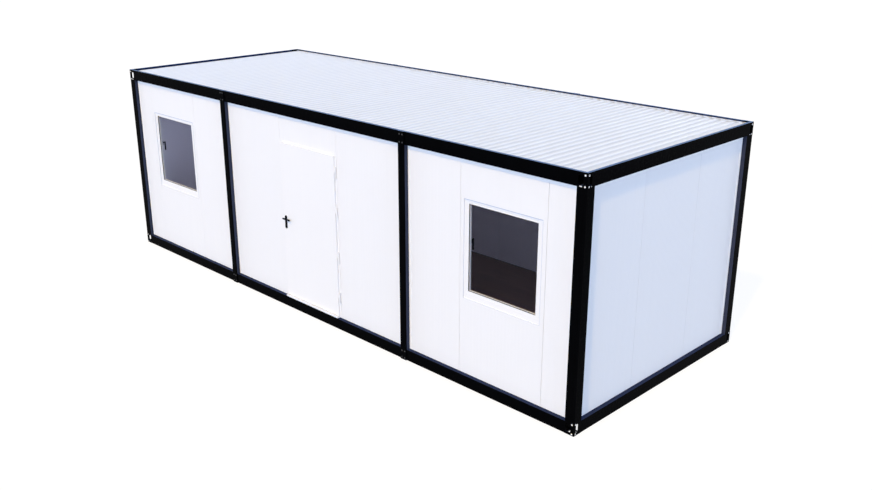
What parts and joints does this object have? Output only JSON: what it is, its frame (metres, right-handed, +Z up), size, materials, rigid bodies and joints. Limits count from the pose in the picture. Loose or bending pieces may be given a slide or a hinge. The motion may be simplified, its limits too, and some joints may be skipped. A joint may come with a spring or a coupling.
{
  "type": "shipping container cabin",
  "caption": "Flat-pack container cabin with a black steel frame, white panel walls, windows, a hinged door and a ribbed roof.",
  "frame": {"origin": "on the ground under the middle of the cabin", "axes": "+X along the long front, to the right for someone who faces the door from outside; +Y from the front to the back; +Z up"},
  "size_m": [8.02, 3, 2.6],
  "materials": {
    "black_steel": "satin",
    "galvanised_steel": "galvanised",
    "floor_boards": "dark wood laminate",
    "roof_steel": "satin",
    "ceiling_panel": "matt",
    "wall_panel": "satin",
    "window_plastic": "satin",
    "window_glass": "clear",
    "black_handle": "satin",
    "door_steel": "satin"
  },
  "bodies": {
    "cabin": {"base_rail_front": "black_steel", "base_rail_back": "black_steel", "base_rail_left": "black_steel", "base_rail_right": "black_steel", "roof_rail_front": "black_steel", "roof_rail_back": "black_steel", "roof_rail_left": "black_steel", "roof_rail_right": "black_steel", "low_fitting_front_left": "black_steel", "low_fitting_front_right": "black_steel", "low_fitting_back_left": "black_steel", "low_fitting_back_right": "black_steel", "high_fitting_front_left": "black_steel", "high_fitting_front_right": "black_steel", "high_fitting_back_left": "black_steel", "high_fitting_back_right": "black_steel", "corner_post_front_left": "black_steel", "corner_post_front_right": "black_steel", "corner_post_back_left": "black_steel", "corner_post_back_right": "black_steel", "mid_post_front_left": "black_steel", "mid_post_front_right": "black_steel", "mid_post_back_left": "black_steel", "mid_post_back_right": "black_steel", "foot_plates": "black_steel", "floor_joists": "galvanised_steel", "roof_purlins": "galvanised_steel", "floor_boards": "floor_boards", "roof_sheet": "roof_steel", "ceiling": "ceiling_panel", "front_wall_left": "wall_panel", "front_wall_middle": "wall_panel", "front_wall_right": "wall_panel", "back_wall_left": "wall_panel", "back_wall_middle": "wall_panel", "back_wall_right": "wall_panel", "end_wall_left": "wall_panel", "end_wall_right": "wall_panel", "window_casings": "window_plastic", "window_sashes": "window_plastic", "window_panes": "window_glass", "window_latches": "black_handle", "door_jamb_left": "door_steel", "door_jamb_right": "door_steel", "door_head": "door_steel", "door_sill": "door_steel", "hinge_frame_halves": "door_steel"},
    "door": {"door_leaf": "door_steel", "hinge_leaf_halves": "door_steel", "lock_plates": "black_handle"},
    "door_handle": {"door_levers": "black_handle"}
  },
  "joints": [
    {"name": "door_hinge", "type": "hinge", "parent": "cabin", "child": "door", "pos_m": [0.509, -1.452, 1.15], "axis": [0, 0, 1], "range_deg": [0, 110]},
    {"name": "lever_turn", "type": "hinge", "parent": "door", "child": "door_handle", "pos_m": [-0.468, -1.4325, 1.165], "axis": [0, 1, 0], "range_deg": [0, 45], "stiffness_Nm_per_rad": 1, "springref_deg": -17.19}
  ]
}
